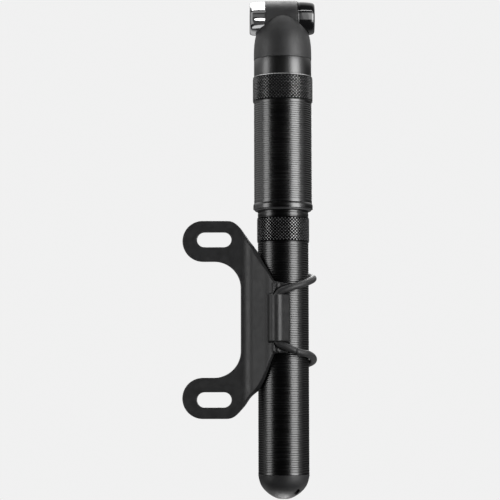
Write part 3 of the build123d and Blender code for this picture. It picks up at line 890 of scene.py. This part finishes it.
def build_floor():
    half = FLOOR_HALF
    mesh = bpy.data.meshes.new("floor")
    corners = [(-half, -half, 0), (half, -half, 0), (half, half, 0), (-half, half, 0)]
    mesh.from_pydata(corners, [], [(0, 1, 2, 3)])
    floor = link_object("floor", mesh)
    floor.location = (0.0, 0.0, FLOOR_Z)
    paint = bpy.data.materials.new("floor_paint")
    nodes = NodeTree(paint, "ShaderNodeOutputMaterial")
    nodes.finish_split(
        lit=nodes.node("ShaderNodeBsdfDiffuse", {0: FLOOR_GREY}),
        seen=nodes.node("ShaderNodeEmission", {0: PALE}),
    )
    mesh.materials.append(paint)
    floor.visible_glossy = False
    floor.visible_diffuse = False


def build_world():
    """Pale behind and above, dark towards the camera and level with the pump."""
    world = bpy.data.worlds.new("studio")
    bpy.context.scene.world = world
    sky = NodeTree(world, "ShaderNodeOutputWorld")
    _, y, z = sky.axes(sky.node("ShaderNodeTexCoord").outputs["Generated"])
    smooth = "SMOOTHSTEP"
    behind = sky.remap(y, span=(-0.05, 0.5), to=(0.0, 1.0), interpolation=smooth)
    above = sky.remap(z, span=(0.12, 0.5), to=(0.0, 1.0), interpolation=smooth)
    down = sky.math("MULTIPLY", z, -1.0)
    below = sky.remap(down, span=(0.12, 0.5), to=(0.0, 0.5), interpolation=smooth)
    off_level = sky.math("ADD", above, below)
    brightness = 0.85
    glow = sky.math("MULTIPLY", sky.math("MULTIPLY", behind, off_level), brightness)
    fill = sky.remap(y, span=(-0.5, 0.3), to=(0.004, 0.05), interpolation=smooth)
    sky.finish_split(
        lit=sky.node("ShaderNodeBackground", {0: sky.math("ADD", glow, fill)}),
        seen=sky.node("ShaderNodeBackground", {0: PALE}),
    )


# ------------------------------------------------------------------ lights
PUMP_AIM = (0.025, 0.0, 0.03)
HEAD_AIM = (0.025, 0.0, 0.12)
DOME_AIM = (AXIS_X * MM, 0.0, -0.07)


def softbox(
    name, azimuth, elevation, width, height, radiance,
    only=(), never=(), distance=0.9, aim=PUMP_AIM, oval=False, turn=0.0,
):
    """Azimuth 0 is the camera's side, positive towards +X. only and never name the
    pieces a light reaches or leaves alone. turn spins the box about its beam."""
    azimuth, elevation = math.radians(azimuth), math.radians(elevation)
    level = math.cos(elevation)
    direction = Vector(
        (math.sin(azimuth) * level, -math.cos(azimuth) * level, math.sin(elevation))
    )
    light = bpy.data.lights.new(name, "AREA")
    light.shape = "ELLIPSE" if oval else "RECTANGLE"
    light.size = width
    light.size_y = height
    light.energy = radiance * math.pi * width * height * (math.pi / 4 if oval else 1.0)
    box = bpy.data.objects.new(name, light)
    box.location = Vector(aim) + direction * distance
    facing = (-direction).to_track_quat("-Z", "Y").to_matrix()
    spin = Matrix.Rotation(math.radians(turn), 3, "Z")
    box.rotation_euler = (facing @ spin).to_euler()
    box.visible_camera = False
    bpy.context.scene.collection.objects.link(box)
    if only or never:
        group = bpy.data.collections.new(name)
        for ob in list(only) + list(never):
            group.objects.link(ob)
        for entry in group.collection_objects:
            entry.light_linking.link_state = "INCLUDE" if only else "EXCLUDE"
        box.light_linking.receiver_collection = group


# Columns of the light tables: name, azimuth and elevation in degrees, width and
# height in metres, radiance, other settings.
PUMP_LIGHTS = [
    ("key_right", 50, 3, 0.53, 0.85, 7.2, dict(never=[lever, bracket])),
    ("key_right_wide", 58, 3, 1.15, 1.3, 0.5, dict(never=[lever, bracket])),
    ("key_right_plate", 46, 3, 0.56, 0.85, 5.4, dict(only=[bracket])),
    ("left", -71, 3, 0.36, 0.85, 3.6, dict(never=[lever, cap, bracket])),
    ("left_wide", -80, 3, 0.9, 1.3, 0.3, dict(never=[cap, bracket, lever, dome])),
    ("left_back", -118, 3, 0.8, 1.1, 0.33, dict(never=[cap, bracket, lever, barrel, dome])),
    ("left_plate", -83, 3, 0.47, 0.85, 1.15, dict(only=[bracket])),
    ("top", 180, 72, 1.1, 0.75, 3.9, dict(never=[cap])),
    ("bend", -41, 2, 0.42, 0.8, 2.3, dict(only=[bracket])),
    ("rear", 177, 24, 0.26, 0.66, 4.2, dict(never=[lever, cap])),
    ("rear_wide", 180, 25, 1.2, 0.9, 0.1, {}),
    ("dome_low", 180, -58, 0.17, 0.13, 7.0, dict(only=[dome], distance=0.35, aim=DOME_AIM)),
]
LEVER_LIGHTS = [
    ("lever_top", 0, 65, 0.9, 0.40, 3.5, {}),
    ("lever_upper", 0, 38, 0.9, 0.28, 0.2, {}),
    ("lever_mid", 0, 11, 0.9, 0.38, 0.12, {}),
    ("lever_strip", 6, -15, 0.72, 0.26, 3.0, dict(oval=True)),
    ("lever_lower", 0, -38, 0.8, 0.42, 0.06, {}),
    ("lever_low_arc", -14, -64, 0.46, 0.16, 0.7, dict(distance=0.5, oval=True, turn=28)),
    ("lever_side", -100, -4, 0.6, 0.9, 0.25, {}),
    ("lever_left", -44, -4, 0.62, 1.45, 0.31, {}),
]
CAP_LIGHTS = [
    ("cap_line", 12, 49, 0.8, 0.06, 13.0, {}),
    ("cap_box_a", 26, 9, 1.21, 0.88, 1.2, {}),
    ("cap_box_b", 33, 9, 0.92, 0.80, 1.4, {}),
    ("cap_box_c", 38, 9, 0.73, 0.72, 2.2, {}),
]


def build_lights():
    for table, shared in (
        (PUMP_LIGHTS, {}),
        (LEVER_LIGHTS, dict(only=[lever], aim=HEAD_AIM)),
        (CAP_LIGHTS, dict(only=[cap], aim=HEAD_AIM)),
    ):
        for *columns, settings in table:
            softbox(*columns, **shared, **settings)


# ------------------------------------------------------------------ camera
def build_camera():
    lens = bpy.data.cameras.new("camera")
    lens.lens = 131.33
    lens.sensor_width = 36.0
    lens.clip_start = 0.01
    lens.clip_end = 50.0
    camera = bpy.data.objects.new("camera", lens)
    camera.location = (0.014334, -0.731178, -0.02824)
    tilt = Matrix.Rotation(math.radians(94.4), 3, "X")
    roll = Matrix.Rotation(math.radians(-0.11), 3, "Z")
    camera.rotation_euler = (tilt @ roll).to_euler()
    bpy.context.scene.collection.objects.link(camera)
    bpy.context.scene.camera = camera


build_floor()
build_world()
build_lights()
view = bpy.context.scene.view_settings
view.view_transform = "Standard"
view.look = "None"
build_camera()
